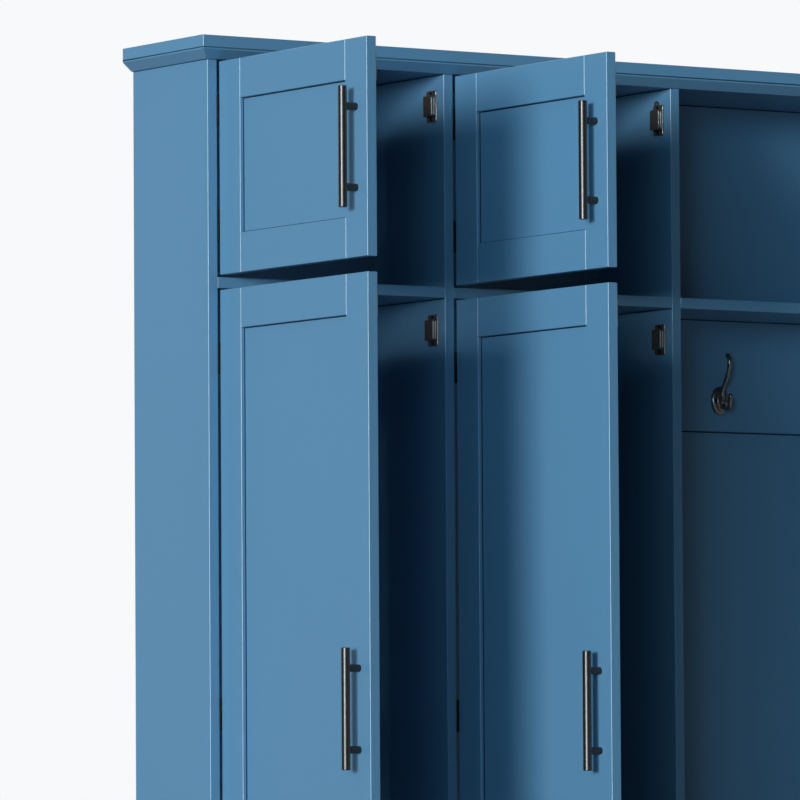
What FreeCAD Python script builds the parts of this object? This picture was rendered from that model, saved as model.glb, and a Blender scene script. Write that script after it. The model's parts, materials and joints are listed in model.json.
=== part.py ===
import FreeCAD, Part
import math
import os
import re
import Sketcher

# A painted hall tree: two columns of framed doors on the left and an open coat bay on the right.
# +X runs to the right, +Y to the back and +Z up. The origin lies on the floor at the centre of the
# carcass footprint. The four doors are modelled standing open, square to the front.

# Driving sizes in millimetres. A name that ends in share is a plain ratio.
SIZES = {
    # Carcass boards
    "board": 18.0,
    "arris": 0.7,
    "column_width": 442.0,
    "bay_width": 902.0,
    "carcass_depth": 231.0,
    "plinth_height": 77.0,
    "plinth_setback": 30.0,
    "bench_height": 455.0,
    "back_thickness": 5.0,
    "back_inset": 10.0,
    "back_tongue": 6.0,
    "groove_play": 0.2,
    # Crown
    "crown_thickness": 19.0,
    "crown_overhang": 20.0,
    "crown_lip": 4.0,
    "crown_toe": 3.5,
    # Doors
    "upper_door_height": 347.0,
    "tall_door_height": 1372.0,
    "door_thickness": 18.0,
    "door_side_gap": 2.0,
    "door_end_gap": 3.4,
    "stile_width": 63.0,
    "rail_width": 64.5,
    "panel_recess": 7.0,
    "panel_thickness": 5.0,
    "panel_tongue": 9.0,
    # Hinges
    "hinge_length": 52.0,
    "leaf_thickness": 0.9,
    "leaf_depth": 15.0,
    "leaf_setback": 0.5,
    "barrel_radius": 1.75,
    "pin_radius": 0.95,
    "pin_play": 0.05,
    "pin_proud": 1.6,
    "pin_head": 0.8,
    "knuckle_play": 0.2,
    "upper_hinge_inset": 80.0,
    "tall_hinge_inset": 111.0,
    # Bar pulls
    "pull_length": 192.0,
    "pull_spacing": 128.0,
    "pull_radius": 7.0,
    "pull_chamfer": 0.8,
    "post_radius": 6.0,
    "pull_reach": 25.5,
    "saddle_play": 0.05,
    # Magnetic catches and their strike plates
    "catch_drop": 25.8,
    "catch_setback": 20.3,
    "flange_height": 52.0,
    "flange_depth": 27.0,
    "flange_thickness": 3.0,
    "flange_corner": 1.5,
    "magnet_height": 34.0,
    "magnet_depth": 23.0,
    "magnet_reach": 12.5,
    "pole_thickness": 1.5,
    "pole_height": 28.0,
    "pole_depth": 10.0,
    "pole_proud": 0.8,
    "pole_inset": 1.0,
    "pole_gap": 3.0,
    "strike_height": 44.0,
    "strike_width": 11.0,
    "strike_thickness": 1.2,
    "strike_margin": 0.8,
    # Hook rail and coat hooks
    "hook_rail_height": 191.5,
    "hook_drop": 139.5,
    "hook_spacing": 230.0,
    "hook_base_width": 35.0,
    "hook_base_height": 49.5,
    "hook_base_bulge": 10.0,
    "hook_rod_radius": 3.7,
    "hook_ball_radius": 4.4,
    "stem_reach": 9.8,
    "stem_rise": 3.7,
    "stem_length": 13.4,
    "tip_bend_radius": 17.0,
    "arm_bend_radius": 75.0,
    "neck_bend_radius": 30.0,
    "lower_bend_radius": 11.1,
    "lower_tip_length": 11.4,
    # Tongues on the board ends, in stopped housings
    "tongue_length": 6.0,
    "tongue_thickness": 8.0,
    "tongue_stop": 15.0,
    # Room that a cutting tool runs past the face it leaves
    "overrun": 1.0,
}
HOOK_COUNT = 3
SQUARE_SHARE = 0.99
KNUCKLE_COUNT = 3

# Small round stock, such as hinge barrels and hook rods, is drawn with this many sides.
ROUND_SIDES = 12
OVAL_SIDES = 20

# Bends of the hook's rod, as shares of a full turn
TIP_BEND_SHARE = 0.153
ARM_BEND_SHARE = 0.078
NECK_BEND_SHARE = 0.106
LOWER_BEND_SHARE = 0.478

# Rings of a ball end, along and across, as shares of its radius
BALL_SHARES = [(-0.8, 0.6), (-0.35, 0.94), (0.35, 0.94), (0.8, 0.6)]

# Rings of the hook's domed base, as shares of its outline and of its bulge
DOME_SHARES = [(1.0, 0.0), (0.97, 0.3), (0.8, 0.72), (0.45, 1.0)]

doc = FreeCAD.newDocument("hall_tree")
sheet = doc.addObject("Spreadsheet::Sheet", "Sizes")
for row, (alias, value) in enumerate(SIZES.items(), start=1):
    sheet.set(f"A{row}", alias)
    sheet.set(f"B{row}", str(value))
    sheet.setAlias(f"B{row}", alias)
doc.recompute()

# Places that several pieces share, as formulas of the sizes
CARCASS_WIDTH = "(4 * board + 2 * column_width + bay_width)"
LEFT = f"(-{CARCASS_WIDTH} / 2)"
FRONT = "(-carcass_depth / 2)"
BACK = "(carcass_depth / 2)"
COLUMN_X = [f"({LEFT} + board)", f"({LEFT} + 2 * board + column_width)"]
BAY_X = f"({LEFT} + 3 * board + 2 * column_width)"
FLOOR_TOP = "(plinth_height + board)"
SHELF_Z = f"({FLOOR_TOP} + tall_door_height + 2 * door_end_gap)"
TOP_Z = f"({SHELF_Z} + board + upper_door_height + 2 * door_end_gap)"
CROWN_Z = f"({TOP_Z} + board)"
BACK_FACE = f"({BACK} - back_inset - back_thickness)"
INNER_DEPTH = "(carcass_depth - back_inset - back_thickness)"
DOOR_WIDTH = "(column_width - 2 * door_side_gap)"
GROOVE_WIDTH = "(panel_thickness + 2 * groove_play)"
GROOVE_DEPTH = "(panel_tongue + groove_play)"
GROOVE_FRONT = "(panel_recess - groove_play)"

pieces = []
board_corners = {}


def cells(formula):
    """Points each size named in a formula at its cell in the sheet."""
    words = re.compile(r"[a-z][a-z_]*")
    return words.sub(lambda word: f"Sizes.{word[0]}" if word[0] in SIZES else word[0], str(formula))


def bind(thing, **formulas):
    for name, formula in formulas.items():
        thing.setExpression(name.replace("__", "."), cells(formula))


def place(thing, corner):
    bind(thing, Placement__Base__x=corner[0], Placement__Base__y=corner[1], Placement__Base__z=corner[2])


def size(alias):
    """A size read from the sheet, for shapes that are built point by point."""
    return float(sheet.get(alias))


def new_body(name):
    body = doc.addObject("PartDesign::Body", name)
    body.Label = name
    return body


def keep(piece, name):
    """Notes a finished piece, which is written to the file of its own name."""
    piece.Label = name
    pieces.append(piece)
    return piece


def origin_plane(body, role):
    return next(plane for plane in body.Origin.OriginFeatures if plane.Role == role)


def draw_outline(sketch, points):
    """Draws a closed outline whose corners are fixed from the sketch's origin by formulas."""
    count = len(points)
    for index in range(count):
        start = FreeCAD.Vector(index, index * index, 0)
        following = (index + 1) % count
        end = FreeCAD.Vector(following, following * following, 0)
        sketch.addGeometry(Part.LineSegment(start, end), False)
    for index in range(count):
        sketch.addConstraint(Sketcher.Constraint("Coincident", index, 2, (index + 1) % count, 1))
    for index, (across, along) in enumerate(points):
        for formula, kind, axis in ((across, "DistanceX", -2), (along, "DistanceY", -1)):
            if formula == 0:
                sketch.addConstraint(Sketcher.Constraint("PointOnObject", index, 1, axis))
            else:
                row = sketch.addConstraint(Sketcher.Constraint(kind, -1, 1, index, 1, float(count)))
                sketch.setExpression(f"Constraints[{row}]", cells(formula))


def padded_outline(body, role, points, length):
    """Pads an outline drawn on one of the body's own planes."""
    sketch = body.newObject("Sketcher::SketchObject", body.Name + "_outline")
    sketch.AttachmentSupport = (origin_plane(body, role), [""])
    sketch.MapMode = "FlatFace"
    draw_outline(sketch, points)
    pad = body.newObject("PartDesign::Pad", body.Name + "_pad")
    pad.Profile = sketch
    bind(pad, Length=length)
    sketch.Visibility = False
    return pad


def ease_edges(body, axis, ends):
    """Eases the arrises of the faces at the named ends of one axis."""
    doc.recompute()
    feature = body.Tip
    box = feature.Shape.BoundBox
    limits = {"low": getattr(box, axis + "Min"), "high": getattr(box, axis + "Max")}
    names = []
    for end in ends:
        for index, edge in enumerate(feature.Shape.Edges, start=1):
            places = [getattr(vertex.Point, axis.lower()) for vertex in edge.Vertexes]
            if all(abs(spot - limits[end]) < Part.Precision.approximation() for spot in places):
                names.append(f"Edge{index}")
    chamfer = body.newObject("PartDesign::Chamfer", body.Name + "_arris")
    chamfer.Base = (feature, names)
    bind(chamfer, Size="arris")


def add_block(body, kind, name, corner, extent):
    block = body.newObject(f"PartDesign::{kind}Box", f"{body.Name}_{name}")
    bind(block, Length=extent[0], Width=extent[1], Height=extent[2])
    place(block, corner)
    return block


def make_board(name, corner, extent, eased=("low",)):
    """A sawn board with its low corner and its size in X, Y and Z, eased at its front edges."""
    body = new_body(name)
    add_block(body, "Additive", "blank", (0, 0, 0), extent)
    if eased:
        ease_edges(body, "Y", eased)
    place(body, corner)
    board_corners[name] = corner
    return keep(body, name)


def make_upright(name, x, grooves):
    """A side or divider that stands on the floor, grooved for the back panels beside it."""
    body = make_board(name, (x, FRONT, 0), ("board", "carcass_depth", TOP_Z))
    depth = "(back_tongue + overrun)"
    corner_y = "(carcass_depth - back_inset - back_thickness - groove_play)"
    for side in grooves:
        corner_x = "-overrun" if side == "left" else "(board - back_tongue)"
        add_block(body, "Subtractive", side + "_groove", (corner_x, corner_y, "plinth_height"),
                  (depth, "(back_thickness + 2 * groove_play)", f"({TOP_Z} - plinth_height + overrun)"))
    return body


def build_carcass():
    make_upright("left_side_panel", LEFT, ["right"])
    make_upright("column_divider", f"({COLUMN_X[0]} + column_width)", ["left", "right"])
    make_upright("bay_divider", f"({COLUMN_X[1]} + column_width)", ["left", "right"])
    make_upright("right_side_panel", f"({BAY_X} + bay_width)", ["left"])
    make_board("top_panel", (LEFT, FRONT, TOP_Z), (CARCASS_WIDTH, "carcass_depth", "board"), ())
    spaces = [("left", COLUMN_X[0], "column_width"), ("middle", COLUMN_X[1], "column_width"),
              ("bay", BAY_X, "bay_width")]
    kicks = []
    for name, x, width in spaces:
        make_board(f"{name}_floor_panel", (x, FRONT, "plinth_height"), (width, INNER_DEPTH, "board"))
        make_board(f"{name}_shelf", (x, FRONT, SHELF_Z), (width, INNER_DEPTH, "board"))
        tongue = "(back_tongue - groove_play)"
        make_board(f"{name}_back_panel", (f"({x} - {tongue})", BACK_FACE, "plinth_height"),
                   (f"({width} + 2 * {tongue})", "back_thickness", f"({TOP_Z} - plinth_height)"), ())
        kick = doc.addObject("Part::Box", f"{name}_toe_kick")
        bind(kick, Length=width, Width="board", Height="plinth_height")
        place(kick, (x, f"({FRONT} + plinth_setback)", 0))
        kicks.append(kick)
    group("toe_kicks", kicks)


def group(name, members):
    """Gathers like pieces, each its own solid, under one name."""
    gathered = doc.addObject("Part::Compound", name)
    gathered.Links = members
    return keep(gathered, name)


def build_bench():
    """The low bench across the bay, over two bays of open shoe shelves."""
    bench_under = "(bench_height - board)"
    make_board("bench_top", (BAY_X, FRONT, bench_under), ("bay_width", INNER_DEPTH, "board"))
    half = "((bay_width - board) / 2)"
    make_board("bench_divider", (f"({BAY_X} + {half})", FRONT, FLOOR_TOP),
               ("board", INNER_DEPTH, f"({bench_under} - {FLOOR_TOP})"))
    shelf_z = f"(({FLOOR_TOP} + {bench_under} - board) / 2)"
    for side, x in (("left", BAY_X), ("right", f"({BAY_X} + {half} + board)")):
        make_board(f"{side}_shoe_shelf", (x, FRONT, shelf_z), (half, INNER_DEPTH, "board"))


def build_crown():
    """The overhanging top board and the bevelled moulding under it, mitred at both front corners."""
    width = f"({CARCASS_WIDTH} + 2 * crown_overhang)"
    make_board("crown_board", (f"({LEFT} - crown_overhang)", f"({FRONT} - crown_overhang)", CROWN_Z),
               (width, "(carcass_depth + crown_overhang)", "crown_thickness"))
    stations = {
        "left_back": (LEFT, BACK, 180, 1),
        "left_mitre": (LEFT, FRONT, -135, "sqrt(2)"),
        "right_mitre": (f"(-{LEFT})", FRONT, -45, "sqrt(2)"),
        "right_back": (f"(-{LEFT})", BACK, 0, 1),
    }
    sections = {}
    for name, (x, y, turn, stretch) in stations.items():
        section = doc.addObject("Sketcher::SketchObject", "crown_section_" + name)
        upright = FreeCAD.Rotation(FreeCAD.Vector(1, 0, 0), 90)
        swing = FreeCAD.Rotation(FreeCAD.Vector(0, 0, 1), turn)
        section.Placement = FreeCAD.Placement(FreeCAD.Vector(), swing.multiply(upright))
        outer = f"(crown_overhang * {stretch})"
        draw_outline(section, [(0, 0), (f"(crown_toe * {stretch})", 0), (outer, "(board - crown_lip)"),
                               (outer, "board"), (0, "board")])
        place(section, (x, y, TOP_Z))
        sections[name] = section
    runs = {"left": ("left_back", "left_mitre"), "front": ("left_mitre", "right_mitre"),
            "right": ("right_mitre", "right_back")}
    for name, ends in runs.items():
        moulding = doc.addObject("Part::Loft", f"crown_moulding_{name}")
        moulding.Sections = [sections[end] for end in ends]
        moulding.Solid = True
        moulding.Ruled = True
        keep(moulding, f"crown_moulding_{name}")


def copies(name, original, corners, turn):
    """Sets equal copies of one piece at their places, each turned about the upright axis."""
    members = []
    for index, corner in enumerate(corners):
        copy = doc.addObject("App::Link", f"{name}_{index}")
        copy.LinkedObject = original
        copy.Placement = FreeCAD.Placement(FreeCAD.Vector(), FreeCAD.Rotation(FreeCAD.Vector(0, 0, 1), turn))
        place(copy, corner)
        members.append(copy)
    return group(name, members)


def make_leaf(name, plate_x, knuckles):
    """A butt hinge leaf about its own pin axis, with the knuckles that the other leaf leaves free."""
    body = new_body(name)
    plate_y = "(pin_proud + leaf_setback)"
    add_block(body, "Additive", "plate", (plate_x, plate_y, 0),
              ("leaf_thickness", "leaf_depth", "hinge_length"))
    pitch = f"(hinge_length / {KNUCKLE_COUNT})"
    length = f"({pitch} - 2 * knuckle_play)"
    for index in knuckles:
        base = f"({index} * {pitch} + knuckle_play)"
        barrel = body.newObject("PartDesign::AdditivePrism", f"{name}_barrel_{index}")
        barrel.Polygon = ROUND_SIDES
        bind(barrel, Circumradius="barrel_radius", Height=length)
        place(barrel, (0, 0, base))
        add_block(body, "Additive", f"tab_{index}", (plate_x, 0, base), ("leaf_thickness", plate_y, length))
    bore = body.newObject("PartDesign::SubtractivePrism", name + "_bore")
    bore.Polygon = ROUND_SIDES
    bind(bore, Circumradius=f"((pin_radius + pin_play) / cos(180 / {ROUND_SIDES}))",
         Height="(hinge_length + 2 * overrun)")
    place(bore, (0, 0, "-overrun"))
    return body


def build_hinges(doors):
    """Butt hinges in the side gaps: leaves on the uprights, leaves on the door edges, and the pins."""
    frame_leaf = make_leaf("frame_leaf", "(-door_side_gap / 2)", range(0, KNUCKLE_COUNT, 2))
    door_leaf = make_leaf("door_leaf", "(door_side_gap / 2 - leaf_thickness)", range(1, KNUCKLE_COUNT, 2))
    seats = []
    for door in doors:
        corners = [door.hinge_seat(up) for up in door.hinge_ups]
        copies(f"{door.name}_hinge_leaves", door_leaf, corners, -90)
        seats += corners
    copies("frame_hinge_leaves", frame_leaf, seats, 0)
    pin = doc.addObject("Part::Prism", "hinge_pin")
    pin.Polygon = ROUND_SIDES
    bind(pin, Circumradius="pin_radius", Height="(hinge_length + 2 * pin_head)")
    copies("hinge_pins", pin, [(x, y, f"({z} - pin_head)") for x, y, z in seats], 0)


def build_catches():
    """Magnetic catches near the top of each door column's two spaces, on the wall by the free edge."""
    housing = new_body("catch_housing")
    flange = add_block(housing, "Additive", "flange", ("(-flange_thickness)", 0, 0),
                       ("flange_thickness", "flange_depth", "flange_height"))
    doc.recompute()
    corners = housing.newObject("PartDesign::Chamfer", "catch_flange_corners")
    corners.Base = (flange, [f"Edge{index}" for index, edge in enumerate(flange.Shape.Edges, start=1)
                             if abs(edge.tangentAt(edge.FirstParameter).x) > SQUARE_SHARE])
    bind(corners, Size="flange_corner")
    block_z = "((flange_height - magnet_height) / 2)"
    add_block(housing, "Additive", "block", ("(-magnet_reach)", 0, block_z),
              ("(magnet_reach - flange_thickness)", "magnet_depth", "magnet_height"))
    pole_z = "((flange_height - pole_height) / 2)"
    pole_spots = ["(-magnet_reach + pole_inset)",
                  "(-magnet_reach + pole_inset + pole_thickness + pole_gap)"]
    for index, x in enumerate(pole_spots):
        add_block(housing, "Subtractive", f"slot_{index}",
                  (f"({x} - saddle_play)", "-overrun", f"({pole_z} - saddle_play)"),
                  ("(pole_thickness + 2 * saddle_play)", "(pole_depth - pole_proud + overrun)",
                   "(pole_height + 2 * saddle_play)"))
    pole = doc.addObject("Part::Box", "catch_pole")
    bind(pole, Length="pole_thickness", Width="pole_depth", Height="pole_height")
    seats = []
    poles = []
    for x in COLUMN_X:
        for top in (SHELF_Z, TOP_Z):
            seat = (f"({x} + column_width)", f"({FRONT} + catch_setback)",
                    f"({top} - catch_drop - flange_height)")
            seats.append(seat)
            poles += [(f"({seat[0]} + {spot})", f"({seat[1]} - pole_proud)", f"({seat[2]} + {pole_z})")
                      for spot in pole_spots]
    copies("catch_housings", housing, seats, 0)
    copies("catch_pole_plates", pole, poles, 0)


def walk_rod():
    """The middle line of a hook's rod, walked from the upper ball down the stem to the lower ball."""
    full_turn = 2 * math.pi
    heading = full_turn * (NECK_BEND_SHARE - ARM_BEND_SHARE - TIP_BEND_SHARE)
    steps = [(size("tip_bend_radius"), TIP_BEND_SHARE), (size("arm_bend_radius"), ARM_BEND_SHARE),
             (size("neck_bend_radius"), -NECK_BEND_SHARE), (size("stem_length"), 0),
             (size("lower_bend_radius"), -LOWER_BEND_SHARE), (size("lower_tip_length"), 0)]
    spot = FreeCAD.Vector()
    runs = []
    for reach, turn_share in steps:
        points = [spot]
        turn = full_turn * turn_share / 2
        while len(points) < 3:
            chord = reach / 2 if turn == 0 else 2 * reach * abs(math.sin(turn / 2))
            heading += turn / 2
            spot = spot + FreeCAD.Vector(0, math.sin(heading), -math.cos(heading)) * chord
            heading += turn / 2
            points.append(spot)
        runs.append((turn_share, points))
    stem = runs[3][1][1]
    home = FreeCAD.Vector(0, -size("stem_reach"), size("stem_rise")) - stem
    return [(turn_share, [point + home for point in points]) for turn_share, points in runs]


def polygon(count, corner):
    """A closed outline through the corners that a function of the turn gives."""
    corners = [corner(2 * math.pi * index / count) for index in range(count)]
    return Part.makePolygon(corners + corners[:1])


def rod_ring(centre, course, radius):
    """The outline of a round rod of the hook, square to its course in the plane of the bends."""
    side = FreeCAD.Vector(1, 0, 0)
    lift = side.cross(course)
    return polygon(ROUND_SIDES,
                   lambda turn: centre + (side * math.cos(turn) + lift * math.sin(turn)) * radius)


def make_hook_rod():
    """The bent round rod of a hook, with a ball on each end."""
    edges = []
    for turn_share, points in walk_rod():
        curve = Part.Arc(*points) if turn_share else Part.LineSegment(points[0], points[-1])
        edges.append(curve.toShape())
    ends = [(edges[0], edges[0].FirstParameter, -1), (edges[-1], edges[-1].LastParameter, 1)]
    balls = []
    for edge, spot, way in ends:
        centre = edge.valueAt(spot)
        outward = edge.tangentAt(spot) * way
        radius = size("hook_ball_radius")
        rings = [rod_ring(centre + outward * radius * along, outward, radius * across)
                 for along, across in BALL_SHARES]
        balls.append(Part.makeLoft(rings, True, True))
    first, spot, way = ends[0]
    ring = rod_ring(first.valueAt(spot), first.tangentAt(spot), size("hook_rod_radius"))
    return Part.Wire(edges).makePipeShell([ring], True, False).fuse(balls)


def make_hook_dome():
    """The oval base of a hook, domed towards the front."""
    across = size("hook_base_width") / 2
    up = size("hook_base_height") / 2
    bulge = size("hook_base_bulge")
    rings = []
    for outline_share, rise_share in DOME_SHARES:
        rings.append(polygon(OVAL_SIDES, lambda turn: FreeCAD.Vector(
            across * outline_share * math.cos(turn), -bulge * rise_share,
            up * outline_share * math.sin(turn))))
    return Part.makeLoft(rings, True, True)


def build_hooks():
    """The rail under the bay's shelf and its double coat hooks, spread evenly from the bay's middle."""
    rail_face = f"({BACK_FACE} - board)"
    make_board("hook_rail", (BAY_X, rail_face, f"({SHELF_Z} - hook_rail_height)"),
               ("bay_width", "board", "hook_rail_height"))
    hook = doc.addObject("Part::Feature", "coat_hook")
    hook.Shape = make_hook_dome().fuse(make_hook_rod()).removeSplitter()
    first = f"({BAY_X} + bay_width / 2 - hook_spacing * {HOOK_COUNT - 1} / 2)"
    copies("coat_hooks", hook, [(f"({first} + {index} * hook_spacing)", rail_face, f"({SHELF_Z} - hook_drop)")
                                for index in range(HOOK_COUNT)], 0)


def house_end(board, wall, lengthwise, low, way):
    """Joins a board's end to a face: a tongue on the board, in a housing that stops short of view."""
    extent = ["tongue_thickness", f"({INNER_DEPTH} - 2 * tongue_stop)", "tongue_thickness"]
    extent[lengthwise] = "tongue_length"
    corner = [low[0], f"({FRONT} + tongue_stop)", low[1]]
    for axis in (0, 2):
        shift = "tongue_thickness / 2" if axis != lengthwise else 0 if way > 0 else "tongue_length"
        corner[axis] = f"({corner[axis]} - {shift})"
    for name, kind, play in ((board, "Additive", 0), (wall, "Subtractive", "groove_play")):
        spot = [f"({whole} - ({own}) - {play})" for whole, own in zip(corner, board_corners[name])]
        room = [f"({length} + 2 * {play})" for length in extent]
        other = wall if name == board else board
        add_block(doc.getObject(name), kind, f"{other}_{'tongue' if play == 0 else 'housing'}", spot, room)


def join_boards():
    """Houses the ends of the floors, shelves and bench in the uprights, and the uprights in the top."""
    spaces = [("left", "left_side_panel", "column_divider", COLUMN_X[0], "column_width"),
              ("middle", "column_divider", "bay_divider", COLUMN_X[1], "column_width"),
              ("bay", "bay_divider", "right_side_panel", BAY_X, "bay_width")]
    level = []
    for space, low_wall, high_wall, x, width in spaces:
        for name in (f"{space}_floor_panel", f"{space}_shelf"):
            level.append((name, low_wall, high_wall, x, width))
    level.append(("bench_top", "bay_divider", "right_side_panel", BAY_X, "bay_width"))
    half = "((bay_width - board) / 2)"
    level.append(("left_shoe_shelf", "bay_divider", "bench_divider", BAY_X, half))
    right_x = f"({BAY_X} + {half} + board)"
    level.append(("right_shoe_shelf", "bench_divider", "right_side_panel", right_x, half))
    for name, low_wall, high_wall, x, width in level:
        middle = f"({board_corners[name][2]} + board / 2)"
        house_end(name, low_wall, 0, (x, middle), -1)
        house_end(name, high_wall, 0, (f"({x} + {width})", middle), 1)
    for wall in ("left_side_panel", "column_divider", "bay_divider", "right_side_panel"):
        house_end(wall, "top_panel", 2, (f"({board_corners[wall][0]} + board / 2)", TOP_Z), 1)
    middle = f"({board_corners['bench_divider'][0]} + board / 2)"
    house_end("bench_divider", "bench_top", 2, (middle, "(bench_height - board)"), 1)
    house_end("bench_divider", "bay_floor_panel", 2, (middle, FLOOR_TOP), -1)


class Door:
    """One framed door, drawn as if shut and then swung open a right angle about its hinge pins."""

    def __init__(self, name, column, bottom, height, hinge_ups):
        self.name = name
        self.opening_x = COLUMN_X[column]
        self.bottom = bottom
        self.height = height
        self.hinge_ups = hinge_ups

    def place(self, piece, across, deep, up):
        """Sets a piece on the open door, from its hinge edge, front face and lower edge."""
        turn = FreeCAD.Rotation(FreeCAD.Vector(0, 0, 1), -90)
        piece.Placement = FreeCAD.Placement(FreeCAD.Vector(), turn)
        place(piece, (f"({self.opening_x} + door_side_gap / 2 + pin_proud + {deep})",
                      f"({FRONT} - pin_proud - door_side_gap / 2 - ({across}))",
                      f"({self.bottom} + {up})"))

    def hinge_seat(self, up):
        """The foot of the pin axis of a hinge centred this far up the door."""
        return (f"({self.opening_x} + door_side_gap / 2)", f"({FRONT} - pin_proud)",
                f"({self.bottom} + {up} - hinge_length / 2)")

    def make_stile(self, side):
        """An upright of the door frame, grooved along its inner edge."""
        name = f"{self.name}_{side}_stile"
        body = new_body(name)
        edge, inner = ("stile_width", f"(stile_width - {GROOVE_DEPTH})")
        outer = 0
        if side == "latch":
            edge, inner, outer = 0, GROOVE_DEPTH, "stile_width"
        groove_back = f"({GROOVE_FRONT} + {GROOVE_WIDTH})"
        padded_outline(body, "XY_Plane", [
            (outer, 0), (edge, 0), (edge, GROOVE_FRONT), (inner, GROOVE_FRONT), (inner, groove_back),
            (edge, groove_back), (edge, "door_thickness"), (outer, "door_thickness")], self.height)
        ease_edges(body, "Y", ("low", "high"))
        self.place(body, 0 if side == "hinge" else f"({DOOR_WIDTH} - stile_width)", 0, 0)
        keep(body, name)

    def make_rail(self, side):
        """A cross member grooved for the panel, with a tongue at each end for the stiles' grooves."""
        body = new_body(f"{self.name}_{side}_rail")
        length = f"({DOOR_WIDTH} - 2 * stile_width)"
        edge, inner, outer = "rail_width", f"(rail_width - {GROOVE_DEPTH})", 0
        tongue_up = 0
        if side == "top":
            edge, inner, outer = 0, GROOVE_DEPTH, "rail_width"
            tongue_up = GROOVE_DEPTH
        groove_back = f"({GROOVE_FRONT} + {GROOVE_WIDTH})"
        padded_outline(body, "YZ_Plane", [
            (0, outer), (0, edge), (GROOVE_FRONT, edge), (GROOVE_FRONT, inner), (groove_back, inner),
            (groove_back, edge), ("door_thickness", edge), ("door_thickness", outer)], length)
        ease_edges(body, "Y", ("low", "high"))
        for end, x in (("hinge", "-panel_tongue"), ("latch", length)):
            add_block(body, "Additive", f"{end}_tongue", (x, "panel_recess", tongue_up),
                      ("panel_tongue", "panel_thickness", f"(rail_width - {GROOVE_DEPTH})"))
        up = 0 if side == "bottom" else f"({self.height} - rail_width)"
        self.place(body, "stile_width", 0, up)
        return body

    def make_panel(self):
        """The flat field of the door, held in the grooves all round."""
        name = f"{self.name}_panel"
        body = new_body(name)
        add_block(body, "Additive", "blank", (0, 0, 0),
                  (f"({DOOR_WIDTH} - 2 * stile_width + 2 * panel_tongue)", "panel_thickness",
                   f"({self.height} - 2 * rail_width + 2 * panel_tongue)"))
        self.place(body, "(stile_width - panel_tongue)", "panel_recess", "(rail_width - panel_tongue)")
        keep(body, name)

    def make_pull(self):
        """A bar pull: a round bar on two posts that are coped to its back."""
        centre = f"({DOOR_WIDTH} - stile_width / 2)"
        bar = new_body(f"{self.name}_pull_bar")
        rod = bar.newObject("PartDesign::AdditiveCylinder", bar.Name + "_rod")
        bind(rod, Radius="pull_radius", Height="pull_length")
        doc.recompute()
        ends = bar.newObject("PartDesign::Chamfer", bar.Name + "_ends")
        ends.Base = (rod, ["Face2", "Face3"])
        bind(ends, Size="pull_chamfer")
        self.place(bar, centre, "(-pull_reach)", f"(({self.height} - pull_length) / 2)")
        members = [bar]
        for level in (-1, 1):
            post = new_body(f"{self.name}_pull_post_{'lower' if level < 0 else 'upper'}")
            stem = post.newObject("PartDesign::AdditiveCylinder", post.Name + "_stem")
            bind(stem, Radius="post_radius", Height="pull_reach")
            cope = post.newObject("PartDesign::SubtractiveCylinder", post.Name + "_cope")
            cope.Placement.Rotation = FreeCAD.Rotation(FreeCAD.Vector(0, 1, 0), 90)
            bind(cope, Radius="(pull_radius + saddle_play)", Height="(2 * (post_radius + overrun))")
            place(cope, ("(-post_radius - overrun)", 0, "pull_reach"))
            self.place(post, centre, 0, f"(({self.height} + {level} * pull_spacing) / 2)")
            outward = FreeCAD.Rotation(FreeCAD.Vector(0, 1, 0), -90)
            post.Placement.Rotation = outward
            members.append(post)
        group(f"{self.name}_bar_pull", members)

    def make_strike(self):
        """The steel plate inside the free edge that the magnet holds."""
        plate = doc.addObject("Part::Box", f"{self.name}_strike_plate")
        bind(plate, Length="strike_width", Width="strike_thickness", Height="strike_height")
        self.place(plate, f"({DOOR_WIDTH} - strike_margin - strike_width)", "door_thickness",
                   f"({self.height} + door_end_gap - catch_drop - (flange_height + strike_height) / 2)")
        keep(plate, plate.Name)

    def build(self):
        self.make_stile("hinge")
        self.make_stile("latch")
        group(f"{self.name}_rails", [self.make_rail("bottom"), self.make_rail("top")])
        self.make_panel()
        self.make_pull()
        self.make_strike()


build_carcass()
build_bench()
build_crown()
doors = []
for side, column in (("left", 0), ("middle", 1)):
    upper_ups = ["upper_hinge_inset", "(upper_door_height - upper_hinge_inset)"]
    tall_ups = ["tall_hinge_inset", "(tall_door_height / 2)", "(tall_door_height - tall_hinge_inset)"]
    doors.append(Door(f"{side}_upper_door", column, f"({SHELF_Z} + board + door_end_gap)",
                      "upper_door_height", upper_ups))
    doors.append(Door(f"{side}_tall_door", column, f"({FLOOR_TOP} + door_end_gap)",
                      "tall_door_height", tall_ups))
for door in doors:
    door.build()
build_hinges(doors)
build_catches()
build_hooks()
join_boards()

doc.recompute()
faults = [thing.Label for thing in doc.Objects if {"Invalid", "Error"} & set(thing.State)]
faults += [piece.Label for piece in pieces if piece.Shape.isNull() or not piece.Shape.isValid()]
if faults:
    raise RuntimeError("These pieces failed to build: " + ", ".join(faults))
os.makedirs("parts", exist_ok=True)
for piece in pieces:
    piece.Shape.exportStep(f"parts/{piece.Label}.step")
print(len(pieces), "pieces written")
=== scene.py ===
"""Looks of the painted hall tree: finishes, eased arrises, coat hooks, screws, joint lines, steel strips and
an eye on the catches, studio light and camera."""
import json
import math

import bmesh
import bpy
from mathutils import Matrix, Vector

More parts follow.
